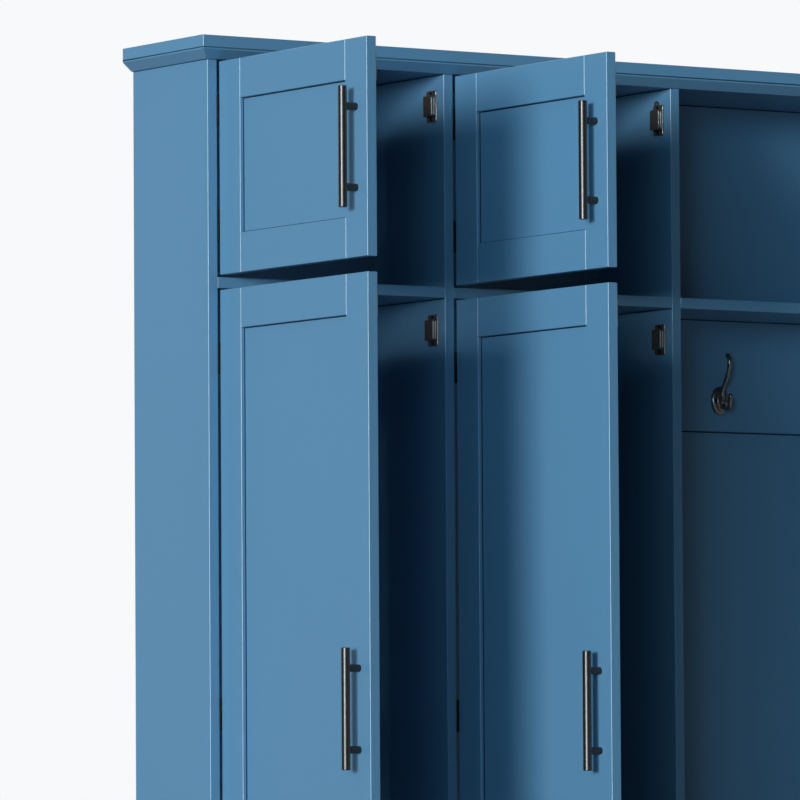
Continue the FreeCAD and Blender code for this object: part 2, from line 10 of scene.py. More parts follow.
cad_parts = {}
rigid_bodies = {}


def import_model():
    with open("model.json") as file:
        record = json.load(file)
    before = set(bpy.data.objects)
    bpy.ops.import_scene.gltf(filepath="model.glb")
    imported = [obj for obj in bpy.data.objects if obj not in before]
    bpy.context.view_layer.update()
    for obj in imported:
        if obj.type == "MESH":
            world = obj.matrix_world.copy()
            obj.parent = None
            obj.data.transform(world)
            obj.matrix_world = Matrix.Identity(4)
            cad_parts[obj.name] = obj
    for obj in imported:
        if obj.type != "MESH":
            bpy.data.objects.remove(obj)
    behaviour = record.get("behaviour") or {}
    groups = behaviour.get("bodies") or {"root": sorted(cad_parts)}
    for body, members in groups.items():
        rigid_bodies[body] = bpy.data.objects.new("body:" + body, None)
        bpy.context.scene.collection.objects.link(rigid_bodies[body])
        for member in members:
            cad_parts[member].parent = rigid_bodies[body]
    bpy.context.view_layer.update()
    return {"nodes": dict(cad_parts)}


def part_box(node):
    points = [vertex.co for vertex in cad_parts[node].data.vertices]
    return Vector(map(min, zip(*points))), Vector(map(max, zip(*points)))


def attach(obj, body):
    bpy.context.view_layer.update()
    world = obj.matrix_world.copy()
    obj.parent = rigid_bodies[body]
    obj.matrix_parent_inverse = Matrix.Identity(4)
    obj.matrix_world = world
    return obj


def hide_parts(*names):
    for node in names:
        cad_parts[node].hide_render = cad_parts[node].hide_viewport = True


for leftover in list(bpy.data.objects):
    bpy.data.objects.remove(leftover)

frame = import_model()
nodes = frame["nodes"]

MM = 0.001
DOORS = ("left_upper_door", "left_tall_door", "middle_upper_door", "middle_tall_door")

# Camera, fitted to the edges of the carcass and doors
LENS_MM = 335.14
SENSOR_MM = 36.0
CAMERA_PLACE = Vector((-7.27631, -10.31375, 0.54126))
CAMERA_YAW = 0.58243
CAMERA_PITCH = 0.06225
CAMERA_ROLL = 0.00610
CAMERA_REACH = 200.0

# Studio: each lamp's direction, power in watts per square metre, spread in radians and colour
LAMP_WHITE = (1.0, 1.0, 1.0)
LAMP_WARM = (1.0, 0.975, 0.94)
LAMP_COOL = (0.50, 0.83, 1.0)
LAMPS = {
    "key_lamp": (Vector((-0.876, -0.474, 0.085)), 2.87, 0.24, LAMP_WARM),
    "front_left_fill": (Vector((-0.710, -0.704, 0.05)), 0.98, 0.30, LAMP_COOL),
    "high_left_fill": (Vector((-0.6, 0.0, 0.8)), 0.46, 1.2, LAMP_COOL),
    "back_lamp": (Vector((0.68, 0.68, 0.28)), 1.10, 1.2, LAMP_WHITE),
    "top_lamp": (Vector((0.0, 0.0, 1.0)), 0.35, 0.9, LAMP_WHITE),
}

# Room: where the backdrop and the softbox are, the cosines at which they begin and are full, and their light
BACKDROP_AHEAD = Vector((0.38, 0.925, 0.0))
BACKDROP_EDGE = (0.45, 0.95)
BACKDROP_WHITE = (0.94, 0.945, 0.955, 1.0)
SOFTBOX_AHEAD = Vector((-0.79, -0.59, -0.17))
SOFTBOX_EDGE = (0.89, 0.975)
SOFTBOX_GLOW = (4.0, 3.9, 3.85, 1.0)
ROOM_GLOSS = (0.04, 0.04, 0.042, 1.0)
ROOM_GREY = (0.034, 0.026, 0.015, 1.0)

# Floor: half its width in metres, its surface, the light it shows the camera, and how much of that gloss sees
FLOOR_HALF = 60.0
FLOOR_PALE = (0.30, 0.30, 0.298, 1.0)
FLOOR_ROUGHNESS = 0.8
FLOOR_SHINE = 0.1
FLOOR_WHITE = (1.0, 1.0, 1.0, 1.0)
FLOOR_GLOW = 0.60
FLOOR_MIRRORED = 0.2

# Finishes, as linear colours
PAINT_BLUE = (0.0925, 0.239, 0.402, 1.0)
# Paler colour for the paint's arrises: partly rub wear, partly a painted highlight along the edges
PAINT_EDGE_WEAR_AND_HIGHLIGHT = (0.150, 0.310, 0.470, 1.0)
# Painted shade: the blue paint darkened as in shade, for dark lines in the corners between boards
SHADE_LINE_BLUE = (0.022, 0.064, 0.112, 1.0)
PULL_BLACK = (0.010, 0.009, 0.009, 1.0)
HINGE_BLACK = (0.005, 0.0047, 0.0043, 1.0)
CAST_BLACK = (0.165, 0.158, 0.156, 1.0)
PLASTIC_BLACK = (0.050, 0.043, 0.039, 1.0)
RUBBED_METAL = (0.020, 0.016, 0.013, 1.0)
CAST_RUBBED = (0.36, 0.33, 0.30, 1.0)
PLATE_STEEL = (0.60, 0.58, 0.56, 1.0)

# Effects: how fine each noise is, and the ranges that turn noise and bends of the surface into masks
DRIFT_DETAIL = 3.0
SHEEN_DETAIL = 4.0
PEBBLE_DETAIL = 2.0
GRIT_DETAIL = 1.0
GRIT_FINER = 3.3
GRIT_SHARE = 0.35
# The arris mask: rub wear, and on the paint also a painted highlight along the edges
ARRIS_SAMPLES = 4
ARRIS_BEND = (0.995, 0.85)
ARRIS_DETAIL = 4.0
ARRIS_PATCHES = (0.35, 0.65)
ARRIS_LEAST = 0.35

# Colour sockets of a Mix node, which share their names with its other kinds of socket
MIX_FIRST = 6
MIX_SECOND = 7
MIX_RESULT = 2


def add_node(tree, kind, **settings):
    """A shader node with its settings."""
    made = tree.nodes.new("ShaderNode" + kind)
    for name, value in settings.items():
        setattr(made, name, value)
    return made


def feed(tree, socket, value):
    """Sets a socket to a plain value, or links it to another node's output."""
    if isinstance(value, bpy.types.NodeSocket):
        tree.links.new(value, socket)
    else:
        socket.default_value = value


def work_out(tree, operation, first, second, third=None):
    """A Math node's result."""
    made = add_node(tree, "Math", operation=operation)
    for socket, value in zip(made.inputs, (first, second, third)):
        if value is not None:
            feed(tree, socket, value)
    return made.outputs["Value"]


def mix_colours(tree, share, first, second):
    """The first colour where the share is 0 and the second where it is 1."""
    made = add_node(tree, "Mix", data_type="RGBA")
    feed(tree, made.inputs["Factor"], share)
    feed(tree, made.inputs[MIX_FIRST], first)
    feed(tree, made.inputs[MIX_SECOND], second)
    return made.outputs[MIX_RESULT]


def noise_at(tree, place, scale, detail):
    """A noise value between 0 and 1 over the surface."""
    made = add_node(tree, "TexNoise")
    feed(tree, made.inputs["Vector"], place)
    feed(tree, made.inputs["Scale"], scale)
    feed(tree, made.inputs["Detail"], detail)
    return made.outputs["Fac"]


def swing_at(tree, place, scale, detail):
    """A noise value that swings between -1 and 1 over the surface."""
    cloud = noise_at(tree, place, scale, detail)
    return work_out(tree, "MULTIPLY_ADD", cloud, 2.0, -1.0)


def effect_group(name, inputs, outputs):
    """An empty node group with named sockets, its entry and its way out."""
    group = bpy.data.node_groups.new(name, "ShaderNodeTree")
    for label, kind in inputs:
        group.interface.new_socket(label, in_out="INPUT", socket_type="NodeSocket" + kind)
    for label, kind in outputs:
        group.interface.new_socket(label, in_out="OUTPUT", socket_type="NodeSocket" + kind)
    entry = group.nodes.new("NodeGroupInput")
    way_out = group.nodes.new("NodeGroupOutput")
    return group, entry.outputs, way_out.inputs


def make_tone_drift():
    """Slow change of a finish's colour, as one coat lies thicker in one place than another."""
    group, given, result = effect_group(
        "tone_drift",
        [("Place", "Vector"), ("Colour", "Color"), ("Size", "Float"), ("Depth", "Float")],
        [("Colour", "Color")])
    swing = swing_at(group, given["Place"], given["Size"], DRIFT_DETAIL)
    share = work_out(group, "MULTIPLY_ADD", swing, given["Depth"], 1.0)
    scaled = add_node(group, "VectorMath", operation="SCALE")
    feed(group, scaled.inputs[0], given["Colour"])
    feed(group, scaled.inputs["Scale"], share)
    feed(group, result["Colour"], scaled.outputs["Vector"])
    return group


def make_sheen_drift():
    """Patches where a finish is a little duller or shinier."""
    group, given, result = effect_group(
        "sheen_drift",
        [("Place", "Vector"), ("Roughness", "Float"), ("Size", "Float"), ("Depth", "Float")],
        [("Roughness", "Float")])
    swing = swing_at(group, given["Place"], given["Size"], SHEEN_DETAIL)
    rough = work_out(group, "MULTIPLY_ADD", swing, given["Depth"], given["Roughness"])
    feed(group, result["Roughness"], rough)
    return group


def make_film_stipple():
    """The fine pebbling of a sprayed, rolled or cast surface."""
    group, given, result = effect_group(
        "film_stipple", [("Place", "Vector"), ("Size", "Float")], [("Height", "Float")])
    pebble = noise_at(group, given["Place"], given["Size"], PEBBLE_DETAIL)
    grit_size = work_out(group, "MULTIPLY", given["Size"], GRIT_FINER)
    grit = noise_at(group, given["Place"], grit_size, GRIT_DETAIL)
    feed(group, result["Height"], work_out(group, "MULTIPLY_ADD", grit, GRIT_SHARE, pebble))
    return group


def make_arris_wear_and_highlight():
    """Where edges see rub wear, and on the paint where a painted highlight lies along them: a mask along
    outer arrises, broken up by noise.
    """
    group, given, result = effect_group(
        "arris_wear_and_highlight", [("Place", "Vector"), ("Reach", "Float"), ("Patch Size", "Float")], [("Mask", "Float")])
    rounded = add_node(group, "Bevel", samples=ARRIS_SAMPLES)
    feed(group, rounded.inputs["Radius"], given["Reach"])
    face = add_node(group, "NewGeometry")
    turned = add_node(group, "VectorMath", operation="DOT_PRODUCT")
    feed(group, turned.inputs[0], rounded.outputs["Normal"])
    feed(group, turned.inputs[1], face.outputs["Normal"])
    edge = add_node(group, "MapRange")
    feed(group, edge.inputs["Value"], turned.outputs["Value"])
    feed(group, edge.inputs["From Min"], ARRIS_BEND[0])
    feed(group, edge.inputs["From Max"], ARRIS_BEND[1])
    patches = noise_at(group, given["Place"], given["Patch Size"], ARRIS_DETAIL)
    kept = add_node(group, "MapRange")
    feed(group, kept.inputs["Value"], patches)
    feed(group, kept.inputs["From Min"], ARRIS_PATCHES[0])
    feed(group, kept.inputs["From Max"], ARRIS_PATCHES[1])
    feed(group, kept.inputs["To Min"], ARRIS_LEAST)
    feed(group, result["Mask"], work_out(group, "MULTIPLY", edge.outputs["Result"], kept.outputs["Result"]))
    return group


TONE_DRIFT = make_tone_drift()
SHEEN_DRIFT = make_sheen_drift()
FILM_STIPPLE = make_film_stipple()
ARRIS_WEAR_AND_HIGHLIGHT = make_arris_wear_and_highlight()


def place_group(tree, group, **values):
    """One use of an effect group with its own values; underscores stand for spaces in the socket names."""
    made = tree.nodes.new("ShaderNodeGroup")
    made.node_tree = group
    for name, value in values.items():
        feed(tree, made.inputs[name.replace("_", " ")], value)
    return made.outputs


def make_finish(name, constants, colour, edge_wear_and_highlight, *, arris_reach, arris_patch, arris_depth, drift_size, drift_depth,
                roughness, sheen_size, sheen_depth, pebble_size, pebble_strength, pebble_height):
    """A material with colour drift, its own colour along the arrises (rub wear, and on the paint also a
    painted highlight), uneven sheen and stipple. The constants are set on the shader's own sockets; reach and
    height are in millimetres."""
    material = bpy.data.materials.new(name)
    material.use_nodes = True
    tree = material.node_tree
    surface = tree.nodes["Principled BSDF"].inputs
    for label, value in constants.items():
        surface[label].default_value = value
    place = add_node(tree, "TexCoord").outputs["Object"]
    toned = place_group(tree, TONE_DRIFT, Place=place, Colour=colour, Size=drift_size, Depth=drift_depth)
    mask = place_group(tree, ARRIS_WEAR_AND_HIGHLIGHT, Place=place, Reach=arris_reach * MM, Patch_Size=arris_patch)["Mask"]
    edge_colour_share = work_out(tree, "MULTIPLY", mask, arris_depth)
    feed(tree, surface["Base Color"], mix_colours(tree, edge_colour_share, toned["Colour"], edge_wear_and_highlight))
    sheen = place_group(tree, SHEEN_DRIFT, Place=place, Roughness=roughness,
                        Size=sheen_size, Depth=sheen_depth)
    feed(tree, surface["Roughness"], sheen["Roughness"])
    pebble = place_group(tree, FILM_STIPPLE, Place=place, Size=pebble_size)["Height"]
    relief = add_node(tree, "Bump")
    feed(tree, relief.inputs["Strength"], pebble_strength)
    feed(tree, relief.inputs["Distance"], pebble_height * MM)
    feed(tree, relief.inputs["Height"], pebble)
    feed(tree, surface["Normal"], relief.outputs["Normal"])
    return material


def make_paint():
    """Satin blue paint on smooth board, sprayed, with slightly paler arrises: partly rub wear, partly a
    painted highlight along the edges.
    """
    return make_finish(
        "satin_blue_paint", {"Specular IOR Level": 0.5}, PAINT_BLUE, PAINT_EDGE_WEAR_AND_HIGHLIGHT,
        arris_reach=0.8, arris_patch=30.0, arris_depth=0.5, drift_size=3.5, drift_depth=0.02,
        roughness=0.36, sheen_size=9.0, sheen_depth=0.03,
        pebble_size=420.0, pebble_strength=0.06, pebble_height=0.05)


def make_shade_line_finish():
    """Thin dull paint darkened as painted shade, down in the joints of the door panels, the carcass and the
    crown.
    """
    return make_finish(
        "painted_shade_lines", {"Specular IOR Level": 0.1}, SHADE_LINE_BLUE, SHADE_LINE_BLUE,
        arris_reach=0.3, arris_patch=60.0, arris_depth=0.2, drift_size=25.0, drift_depth=0.10,
        roughness=0.70, sheen_size=40.0, sheen_depth=0.05,
        pebble_size=700.0, pebble_strength=0.05, pebble_height=0.03)


def make_pull_finish():
    """Satin black nickel of the bar pulls."""
    return make_finish(
        "black_nickel_bar", {"Specular IOR Level": 0.6}, PULL_BLACK, RUBBED_METAL,
        arris_reach=0.5, arris_patch=160.0, arris_depth=0.2, drift_size=40.0, drift_depth=0.06,
        roughness=0.33, sheen_size=60.0, sheen_depth=0.01,
        pebble_size=900.0, pebble_strength=0.004, pebble_height=0.01)


def make_hinge_finish():
    """Black lacquered steel of the hinges and screws, with wear at the rims."""
    return make_finish(
        "black_hinge_lacquer", {"Specular IOR Level": 0.08}, HINGE_BLACK, RUBBED_METAL,
        arris_reach=0.3, arris_patch=200.0, arris_depth=0.35, drift_size=60.0, drift_depth=0.15,
        roughness=0.50, sheen_size=90.0, sheen_depth=0.06,
        pebble_size=1400.0, pebble_strength=0.10, pebble_height=0.03)


def make_cast_finish():
    """Black nickel on the cast coat hooks, over a faint sand grain."""
    return make_finish(
        "black_cast_metal", {"Metallic": 0.92}, CAST_BLACK, CAST_RUBBED,
        arris_reach=0.8, arris_patch=140.0, arris_depth=0.5, drift_size=55.0, drift_depth=0.18,
        roughness=0.28, sheen_size=70.0, sheen_depth=0.05,
        pebble_size=750.0, pebble_strength=0.05, pebble_height=0.05)


def make_plastic_finish():
    """Moulded black plastic of the catches, with a fine spark grain."""
    return make_finish(
        "black_catch_plastic", {"Specular IOR Level": 0.40}, PLASTIC_BLACK, RUBBED_METAL,
        arris_reach=0.5, arris_patch=150.0, arris_depth=0.5, drift_size=80.0, drift_depth=0.10,
        roughness=0.30, sheen_size=110.0, sheen_depth=0.02,
        pebble_size=1800.0, pebble_strength=0.03, pebble_height=0.02)


def make_plate_finish():
    """Plain zinc-plated steel of the strike plates, and of the catches' poles and edge strips."""
    return make_finish(
        "zinc_plate", {"Metallic": 1.0}, PLATE_STEEL, PLATE_STEEL,
        arris_reach=0.3, arris_patch=200.0, arris_depth=0.2, drift_size=120.0, drift_depth=0.10,
        roughness=0.34, sheen_size=200.0, sheen_depth=0.07,
        pebble_size=1600.0, pebble_strength=0.10, pebble_height=0.02)


PAINT = make_paint()
SHADE_LINE_FINISH = make_shade_line_finish()
PULL_FINISH = make_pull_finish()
HINGE_FINISH = make_hinge_finish()
CAST_FINISH = make_cast_finish()
PLASTIC_FINISH = make_plastic_finish()
PLATE_FINISH = make_plate_finish()


def finish_of(name):
    """The finish that a CAD node wears."""
    if name.endswith("bar_pull"):
        return PULL_FINISH
    if name.endswith(("hinge_leaves", "hinge_pins")):
        return HINGE_FINISH
    if name == "coat_hooks":
        return CAST_FINISH
    if name == "catch_housings":
        return PLASTIC_FINISH
    if name.endswith(("strike_plate", "pole_plates")):
        return PLATE_FINISH
    return PAINT


def wear(piece, material):
    """Puts one finish on a whole piece."""
    for index in range(max(1, len(piece.material_slots))):
        if not piece.material_slots:
            piece.data.materials.append(material)
        else:
            piece.material_slots[index].link = "OBJECT"
            piece.material_slots[index].material = material


# Eased arrises: a rounding's width in millimetres, and the least bend of the edges that get it in degrees.
# Points and faces closer than the last values count as one, and places are sorted to a tenth of a millimetre
PAINT_EASE = (0.16, 25)
PLASTIC_EASE = (0.55, 40)
METAL_EASE = (0.18, 40)
EASE_SEGMENTS = 2
FACE_WEIGHT = 100
SAME_POINT = 0.01 * MM
SAME_FACE_DEGREES = 0.5
SORT_DIGITS = 4


def soften(piece, ease):
    """Eases a piece's arrises by a small rounding, with flat faces kept flat."""
    width, least_bend = ease
    weld = piece.modifiers.new("joined_faces", "WELD")
    weld.merge_threshold = SAME_POINT
    flats = piece.modifiers.new("whole_faces", "DECIMATE")
    flats.decimate_type = "DISSOLVE"
    flats.angle_limit = math.radians(SAME_FACE_DEGREES)
    rounding = piece.modifiers.new("eased_arris", "BEVEL")
    rounding.width = width * MM
    rounding.segments = EASE_SEGMENTS
    rounding.limit_method = "ANGLE"
    rounding.angle_limit = math.radians(least_bend)
    shade = piece.modifiers.new("face_shading", "WEIGHTED_NORMAL")
    shade.keep_sharp = False
    shade.weight = FACE_WEIGHT


def dress_nodes():
    """Every CAD node gets its finish, and all but the pulls and hooks get eased arrises."""
    for name, piece in nodes.items():
        material = finish_of(name)
        wear(piece, material)
        if material == PAINT:
            soften(piece, PAINT_EASE)
        elif material == PLASTIC_FINISH:
            soften(piece, PLASTIC_EASE)
        elif material in (HINGE_FINISH, PLATE_FINISH):
            soften(piece, METAL_EASE)


def finish_piece(name, work, body, material):
    """Turns built faces into a piece that wears a finish and moves with its body."""
    bmesh.ops.recalc_face_normals(work, faces=work.faces)
    mesh = bpy.data.meshes.new(name)
    work.to_mesh(mesh)
    work.free()
    mesh.shade_smooth()
    piece = bpy.data.objects.new(name, mesh)
    bpy.context.scene.collection.objects.link(piece)
    wear(piece, material)
    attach(piece, body)
    return piece


def full_turn(count):
    """Angles at even steps round a circle."""
    return [2 * math.pi * index / count for index in range(count)]


def skin_rings(work, rings, looped=False):
    """A closed skin over rings with the same number of points, capped at both ends or joined into a loop."""
    made = [[work.verts.new(point) for point in ring] for ring in rings]
    count = len(made[0])
    following = made[1:] + made[:1] if looped else made[1:]
    for lower, upper in zip(made, following):
        for index in range(count):
            after = (index + 1) % count
            work.faces.new((lower[index], lower[after], upper[after], upper[index]))
    if not looped:
        work.faces.new(made[0][::-1])
        work.faces.new(made[-1])


# One coat hook, in millimetres and degrees: bends are a radius and a turn, heights are from its middle
HOOK_STEM_REACH = 9.8
HOOK_STEM_ENDS = (-3.0, 10.4)
HOOK_NECK = (30.0, 38.2)
HOOK_ARM = (75.0, 28.1)
HOOK_TIP = (17.0, 55.1)
HOOK_LOWER = (11.1, 172.1)
HOOK_DOWNWARD = 180.0
HOOK_LIP = 11.4
HOOK_ROD = 3.7
HOOK_BALL = 4.4
HOOK_BALL_SHARES = (-0.60, -0.35, 0.0, 0.35, 0.62, 0.82, 0.94, 0.99)
HOOK_ARC_STEPS = 18
HOOK_SIDES = 20

# Its oval plate, as half sizes, and the swelling down the plate's middle
HOOK_PLATE = (17.5, 24.75)
HOOK_PLATE_SIDES = 48
HOOK_PLATE_STEPS = 9
HOOK_PLATE_ARC = (12, 88)
HOOK_RIM = 2.0
HOOK_RIM_SHARE = 0.7
HOOK_BULGE = 6.8
HOOK_BULGE_FULLNESS = 3.5
HOOK_RIB = (11.5, 4.6, 19.5)
HOOK_RIB_REACH = 6.4
HOOK_RIB_SQUARING = 0.6
HOOK_RIB_STEPS = 12
HOOK_RIB_END = 84


def walk_arc(path, radius, turn_degrees, heading_degrees):
    """Adds an arc to a path of (reach, height) points and gives the heading at its end."""
    for _ in range(HOOK_ARC_STEPS):
        part = math.radians(turn_degrees) / HOOK_ARC_STEPS
        chord = 2 * radius * math.sin(abs(part) / 2)
        middle = math.radians(heading_degrees) + part / 2
        reach, height = path[-1]
        path.append((reach + chord * math.sin(middle), height + chord * math.cos(middle)))
        heading_degrees += turn_degrees / HOOK_ARC_STEPS
    return heading_degrees


def hook_arms():
    """Middle lines of the upper arm and the lower arm, each walked outward from the stem's middle."""
    upper = [(HOOK_STEM_REACH, 0.0), (HOOK_STEM_REACH, HOOK_STEM_ENDS[1])]
    heading = walk_arc(upper, HOOK_NECK[0], HOOK_NECK[1], 0.0)
    heading = walk_arc(upper, HOOK_ARM[0], -HOOK_ARM[1], heading)
    walk_arc(upper, HOOK_TIP[0], -HOOK_TIP[1], heading)
    lower = [(HOOK_STEM_REACH, 0.0), (HOOK_STEM_REACH, HOOK_STEM_ENDS[0])]
    heading = walk_arc(lower, HOOK_LOWER[0], -HOOK_LOWER[1], HOOK_DOWNWARD)
    turned = math.radians(heading)
    reach, height = lower[-1]
    lower.append((reach + HOOK_LIP * math.sin(turned), height + HOOK_LIP * math.cos(turned)))
    return upper, lower


def rod_rings(path, place):
    """Round rings along an arm, ending in a ball."""
    rings = []
    points = [Vector((0.0, -reach, height)) for reach, height in path]
    for index, point in enumerate(points):
        before = points[max(0, index - 1)]
        after = points[min(len(points) - 1, index + 1)]
        rings.append((point, (after - before).normalized(), HOOK_ROD))
    tip, ahead, _ = rings.pop()
    while (tip - rings[-1][0]).length < HOOK_BALL:
        rings.pop()
    for share in HOOK_BALL_SHARES:
        radius = HOOK_BALL * math.sqrt(1 - share * share)
        rings.append((tip + ahead * HOOK_BALL * share, ahead, radius))
    across = Vector((1.0, 0.0, 0.0))
    made = []
    for point, forward, radius in rings:
        side = forward.cross(across)
        ring = []
        for angle in full_turn(HOOK_SIDES):
            spot = point + (across * math.cos(angle) + side * math.sin(angle)) * radius
            ring.append(place + spot * MM)
        made.append(ring)
    return made


def plate_height(share):
    """How far the hook's oval plate stands off the rail at a share of its half width."""
    return HOOK_RIM + (HOOK_BULGE - HOOK_RIM) * math.sqrt(max(0.0, 1 - share ** HOOK_BULGE_FULLNESS))


def plate_rings(place):
    """Oval rings from the plate's foot on the rail up over its bulge."""
    shares = [(1.0, 0.0), (1.0, HOOK_RIM * HOOK_RIM_SHARE)]
    start, end = HOOK_PLATE_ARC
    for step in range(HOOK_PLATE_STEPS + 1):
        share = math.cos(math.radians(start + (end - start) * step / HOOK_PLATE_STEPS))
        shares.append((share, plate_height(share)))
    made = []
    for share, off in shares:
        ring = []
        for angle in full_turn(HOOK_PLATE_SIDES):
            spot = Vector((HOOK_PLATE[0] * share * math.cos(angle), -off,
                           HOOK_PLATE[1] * share * math.sin(angle)))
            ring.append(place + spot * MM)
        made.append(ring)
    return made


def squared(value):
    """A sine or cosine pushed outwards, for a rounded box rather than an oval."""
    return math.copysign(abs(value) ** HOOK_RIB_SQUARING, value)


def rib_rings(place):
    """Rings of the swelling down the plate's middle that the arms grow out of."""
    made = []
    for step in range(HOOK_RIB_STEPS + 1):
        lift = math.radians(-HOOK_RIB_END + 2 * HOOK_RIB_END * step / HOOK_RIB_STEPS)
        ring = []
        for angle in full_turn(HOOK_SIDES):
            spot = Vector((HOOK_RIB[0] * math.cos(lift) * squared(math.cos(angle)),
                           -HOOK_RIB_REACH - HOOK_RIB[1] * math.cos(lift) * squared(math.sin(angle)),
                           HOOK_RIB[2] * math.sin(lift)))
            spot.y = min(0.0, spot.y)
            ring.append(place + spot * MM)
        made.append(ring)
    return made


# A screw head: rings as shares of its radius and height, then its cross-shaped drive as shares of its radius
SCREW_RINGS = ((1.0, -0.5), (1.0, 0.35), (0.93, 0.75), (0.80, 1.0))
DRIVE_ARM = 0.62
DRIVE_HALF = 0.16
DRIVE_FLOOR = 0.9
DRIVE_DEPTH = 0.28

# Screws in millimetres: radius and height of the head, then where each kind sits
HOOK_SCREW = (3.5, 1.2)
HOOK_SCREW_OUT = 11.0
HOOK_SCREW_LEAN = 0.3
HINGE_SCREW = (2.6, 0.06)
HINGE_SCREW_RISE = 17.0
HINGE_SCREW_INSET = 7.5
FRAME_LEAF_FACE = 1.65
DOOR_LEAF_FACE = 1.85
CATCH_SCREW = (2.8, 1.2)
CATCH_SCREW_INSET = 4.6
CATCH_FLANGE_FACE = 3.0
STRIKE_SCREW = (2.4, 0.06)
STRIKE_SCREW_SHARES = (0.2, 0.8)


def add_screw(work, place, facing, head):
    """A cross-recessed screw head seated at a place, with its drive facing out."""
    radius, proud = (size * MM for size in head)
    turn = facing.normalized().to_track_quat("Z", "Y").to_matrix()
    corner = math.atan2(DRIVE_HALF, DRIVE_ARM)
    tip = math.hypot(DRIVE_ARM, DRIVE_HALF)
    spread = []
    for middle in full_turn(4):
        spread += [(middle - corner, tip), (middle, DRIVE_ARM), (middle + corner, tip),
                   (middle + math.pi / 4, DRIVE_HALF * math.sqrt(2))]
    levels = [(share, rise * proud, False) for share, rise in SCREW_RINGS]
    levels += [(1.0, proud, True), (DRIVE_FLOOR, proud - DRIVE_DEPTH * radius, True)]
    rings = []
    for share, height, cross in levels:
        ring = []
        for angle, reach in spread:
            out = radius * share * (reach if cross else 1.0)
            ring.append(place + turn @ Vector((out * math.cos(angle), out * math.sin(angle), height)))
        rings.append(ring)
    skin_rings(work, rings)


def parts_of(name):
    """Boxes of the separate solids in a CAD node, as lowest and highest corners, sorted from the left and
    then from below."""
    work = bmesh.new()
    work.from_mesh(nodes[name].data)
    bmesh.ops.remove_doubles(work, verts=work.verts, dist=SAME_POINT)
    left = set(work.verts)
    boxes = []
    while left:
        found = [left.pop()]
        low, high = found[0].co.copy(), found[0].co.copy()
        while found:
            vertex = found.pop()
            low = Vector(map(min, low, vertex.co))
            high = Vector(map(max, high, vertex.co))
            for edge in vertex.link_edges:
                other = edge.other_vert(vertex)
                if other in left:
                    left.remove(other)
                    found.append(other)
        boxes.append((low, high))
    work.free()
    return sorted(boxes, key=lambda box: (round(box[0].x, SORT_DIGITS), round(box[0].z, SORT_DIGITS)))


def make_hooks():
    """Cast double hooks on oval plates, which stand for the plain CAD hooks, and their screws."""
    castings = bmesh.new()
    screws = bmesh.new()
    rail_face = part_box("hook_rail")[0].y
    screw_off = plate_height(HOOK_SCREW_OUT / HOOK_PLATE[0])
    for low, high in parts_of("coat_hooks"):
        middle = Vector(((low.x + high.x) / 2, rail_face, low.z + HOOK_PLATE[1] * MM))
        for arm in hook_arms():
            skin_rings(castings, rod_rings(arm, middle))
        skin_rings(castings, plate_rings(middle))
        skin_rings(castings, rib_rings(middle))
        for side in (-1, 1):
            seat = middle + Vector((side * HOOK_SCREW_OUT, -screw_off, 0.0)) * MM
            add_screw(screws, seat, Vector((side * HOOK_SCREW_LEAN, -1.0, 0.0)), HOOK_SCREW)
    hooks = finish_piece("cast_coat_hooks", castings, "carcass", CAST_FINISH)
    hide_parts("coat_hooks")
    finish_piece("hook_screws", screws, "carcass", HINGE_FINISH)


def make_hinge_screws():
    """Flat-headed screws that hold each hinge leaf, flush with the leaf."""
    for name in ("frame",) + DOORS:
        work = bmesh.new()
        for low, high in parts_of(name + "_hinge_leaves"):
            middle = (low + high) / 2
            for rise in (-HINGE_SCREW_RISE, HINGE_SCREW_RISE):
                height = middle.z + rise * MM
                if name == "frame":
                    face = Vector((low.x + FRAME_LEAF_FACE * MM, high.y - HINGE_SCREW_INSET * MM, height))
                    add_screw(work, face, Vector((1.0, 0.0, 0.0)), HINGE_SCREW)
                else:
                    face = Vector((high.x - HINGE_SCREW_INSET * MM, high.y - DOOR_LEAF_FACE * MM, height))
                    add_screw(work, face, Vector((0.0, 1.0, 0.0)), HINGE_SCREW)
        body = "carcass" if name == "frame" else name
        finish_piece(name + "_hinge_screws", work, body, HINGE_FINISH)


# Painted shade: dark lines in the corners between boards where shade falls, in millimetres: legs, and how far
# they go into the boards
SHADE_LINE_WIDE = 1.9
SHADE_LINE_HIGH = 1.0
SHADE_LINE_SUNK = 0.1
SHADE_LINE_SETBACK = 1.0
RAIL_SHADE_LINE_WIDER = 3


def make_panel_shade_lines():
    """Painted shade: a dark line round the front of each door's panel, where it goes into the stiles and
    rails.
    """
    legs = ((SHADE_LINE_SUNK, -SHADE_LINE_SUNK), (SHADE_LINE_SUNK, SHADE_LINE_WIDE), (-SHADE_LINE_HIGH, -SHADE_LINE_SUNK))
    for door in DOORS:
        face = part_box(door + "_panel")[0].x
        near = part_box(door + "_hinge_stile")[0].y
        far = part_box(door + "_latch_stile")[1].y
        lower_rail, upper_rail = parts_of(door + "_rails")
        base, top = lower_rail[1].z, upper_rail[0].z
        corners = ((near, base, -1, 1), (far, base, 1, 1), (far, top, 1, -1), (near, top, -1, -1))
        rings = []
        for y, z, inward, upward in corners:
            rings.append([Vector((face + off * MM, y + inward * along * MM, z + upward * along * MM))
                          for off, along in legs])
        work = bmesh.new()
        skin_rings(work, rings, looped=True)
        finish_piece(door + "_panel_shade_line", work, door, SHADE_LINE_FINISH)


def add_shade_line(work, start, end, leg, other_leg):
    """A thin three-sided strip of painted shade in the corner between two boards, with one leg along each
    board.
    """
    into = leg.normalized() * SHADE_LINE_SUNK * MM
    other_into = other_leg.normalized() * SHADE_LINE_SUNK * MM
    section = (-into - other_into, leg - other_into, other_leg - into)
    skin_rings(work, [[place + spot for spot in section] for place in (start, end)])


